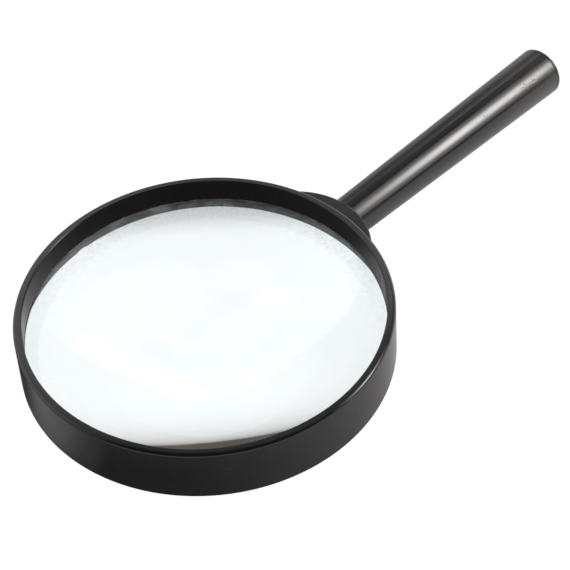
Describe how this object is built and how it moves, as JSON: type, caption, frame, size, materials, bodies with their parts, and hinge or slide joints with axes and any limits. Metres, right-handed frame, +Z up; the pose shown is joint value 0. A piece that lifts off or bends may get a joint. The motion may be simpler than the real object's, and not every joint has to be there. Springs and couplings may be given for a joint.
{
  "type": "magnifying glass",
  "caption": "Round hand magnifier: a biconvex glass lens in a deep black ring, with a crescent shoulder and a slim tapered handle.",
  "frame": {"origin": "centre of the lens ring, on the plane the ring rests on", "axes": "+X from the ring's centre along the handle, +Z up along the lens axis"},
  "size_m": [0.1963, 0.1036, 0.0166],
  "materials": {
    "frame_plastic": "moulded, polished",
    "lens_glass": "ground and polished",
    "retainer_plastic": "moulded, satin",
    "handle_plastic": "moulded, polished, lightly worn",
    "cap_plastic": "moulded, polished"
  },
  "bodies": {
    "frame": {"lens_frame": "frame_plastic"},
    "lens": {"lens": "lens_glass"},
    "retaining_ring": {"lens_retaining_ring": "retainer_plastic"},
    "handle": {"handle": "handle_plastic", "handle_end_cap": "cap_plastic"}
  },
  "joints": [
    {"name": "handle_pull", "type": "slide", "parent": "frame", "child": "handle", "axis": [1, 0, 0], "range_m": [0, 0.025]},
    {"name": "lens_travel", "type": "slide", "parent": "frame", "child": "lens", "axis": [0, 0, -1], "range_m": [0, 0.0027]},
    {"name": "retaining_ring_turn", "type": "hinge", "parent": "lens", "child": "retaining_ring", "pos_m": [0, 0, 0.005], "axis": [0, 0, -1], "range_deg": [0, 1080]}
  ],
  "couplings": [
    {"joint": "retaining_ring_turn", "follows": "lens_travel", "rad_per_m": 6981.3}
  ]
}
